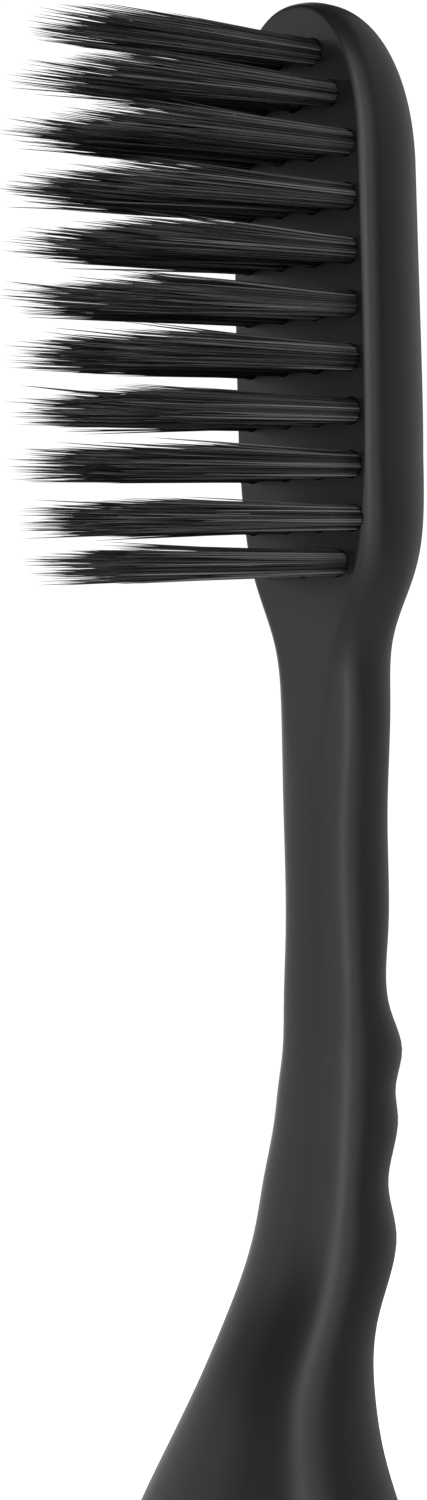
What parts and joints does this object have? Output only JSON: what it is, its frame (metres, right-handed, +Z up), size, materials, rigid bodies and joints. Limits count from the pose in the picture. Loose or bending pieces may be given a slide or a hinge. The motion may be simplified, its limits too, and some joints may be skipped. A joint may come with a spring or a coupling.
{
  "type": "manual toothbrush",
  "caption": "Slim manual toothbrush standing upright: bristle head, thin neck, finger waves on the back of the grip and a tapering handle with a flat butt.",
  "frame": {"origin": "centre of the flat butt end of the handle, on the handle's axis", "axes": "+Z up the handle to the head, bristles towards -Y, +X to the right when the bristles face the viewer"},
  "size_m": [0.016, 0.0225, 0.19],
  "materials": {
    "handle_plastic": "satin black polypropylene, fine moulded surface",
    "bristle_nylon": "black charcoal-tinted filaments, slightly glossy",
    "anchor_metal": "drawn nickel-silver wire, cut ends"
  },
  "bodies": {
    "root": {"handle": "handle_plastic", "tuft_anchors": "anchor_metal", "tuft_r01_c1": "bristle_nylon", "tuft_r01_c2": "bristle_nylon", "tuft_r02_c1": "bristle_nylon", "tuft_r02_c2": "bristle_nylon", "tuft_r02_c3": "bristle_nylon", "tuft_r03_c1": "bristle_nylon", "tuft_r03_c2": "bristle_nylon", "tuft_r03_c3": "bristle_nylon", "tuft_r03_c4": "bristle_nylon", "tuft_r04_c1": "bristle_nylon", "tuft_r04_c2": "bristle_nylon", "tuft_r04_c3": "bristle_nylon", "tuft_r04_c4": "bristle_nylon", "tuft_r05_c1": "bristle_nylon", "tuft_r05_c2": "bristle_nylon", "tuft_r05_c3": "bristle_nylon", "tuft_r05_c4": "bristle_nylon", "tuft_r06_c1": "bristle_nylon", "tuft_r06_c2": "bristle_nylon", "tuft_r06_c3": "bristle_nylon", "tuft_r06_c4": "bristle_nylon", "tuft_r07_c1": "bristle_nylon", "tuft_r07_c2": "bristle_nylon", "tuft_r07_c3": "bristle_nylon", "tuft_r07_c4": "bristle_nylon", "tuft_r08_c1": "bristle_nylon", "tuft_r08_c2": "bristle_nylon", "tuft_r08_c3": "bristle_nylon", "tuft_r08_c4": "bristle_nylon", "tuft_r09_c1": "bristle_nylon", "tuft_r09_c2": "bristle_nylon", "tuft_r09_c3": "bristle_nylon", "tuft_r09_c4": "bristle_nylon", "tuft_r10_c1": "bristle_nylon", "tuft_r10_c2": "bristle_nylon", "tuft_r10_c3": "bristle_nylon", "tuft_r10_c4": "bristle_nylon", "tuft_r11_c1": "bristle_nylon", "tuft_r11_c2": "bristle_nylon", "tuft_r11_c3": "bristle_nylon"}
  },
  "joints": []
}
